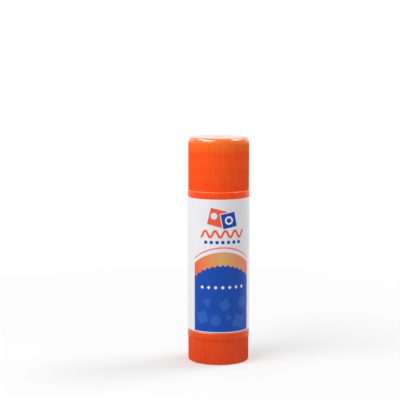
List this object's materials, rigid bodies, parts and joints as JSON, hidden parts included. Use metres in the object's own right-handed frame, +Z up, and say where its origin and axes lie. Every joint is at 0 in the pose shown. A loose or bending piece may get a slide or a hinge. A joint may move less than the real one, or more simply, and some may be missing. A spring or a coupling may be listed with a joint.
{
  "type": "glue stick",
  "caption": "Twist-up glue stick: ribbed pull-off cap, labelled tube, turning dial with a screw, and a carrier that lifts the solid glue.",
  "frame": {"origin": "centre of the dial's foot ring, on the plane the stick stands on", "axes": "+Z up the length of the stick, from the dial to the cap's crown; -Y out of the label's front"},
  "size_m": [0.028, 0.028, 0.102],
  "materials": {
    "cap_plastic": "glossy orange polypropylene",
    "barrel_plastic": "glossy white polypropylene",
    "label_film": "printed glossy film",
    "dial_plastic": "glossy orange polypropylene",
    "spindle_plastic": "natural white polypropylene",
    "carrier_plastic": "natural white polyethylene",
    "glue_solid": "waxy off-white solid adhesive"
  },
  "bodies": {
    "barrel": {"barrel": "barrel_plastic", "label": "label_film"},
    "dial": {"dial": "dial_plastic", "spindle": "spindle_plastic"},
    "carrier": {"carrier": "carrier_plastic", "glue": "glue_solid"},
    "cap": {"cap": "cap_plastic"}
  },
  "joints": [
    {"name": "dial_twist", "type": "hinge", "parent": "barrel", "child": "dial", "pos_m": [0, 0, 0], "axis": [0, 0, -1], "range_deg": [0, 4861]},
    {"name": "glue_rise", "type": "slide", "parent": "barrel", "child": "carrier", "axis": [0, 0, 1], "range_m": [0, 0.054]},
    {"name": "cap_pull", "type": "slide", "parent": "carrier", "child": "cap", "axis": [0, 0, 1], "range_m": [0, 0.04]}
  ],
  "couplings": [
    {"joint": "dial_twist", "follows": "glue_rise", "rad_per_m": 1570.8}
  ]
}
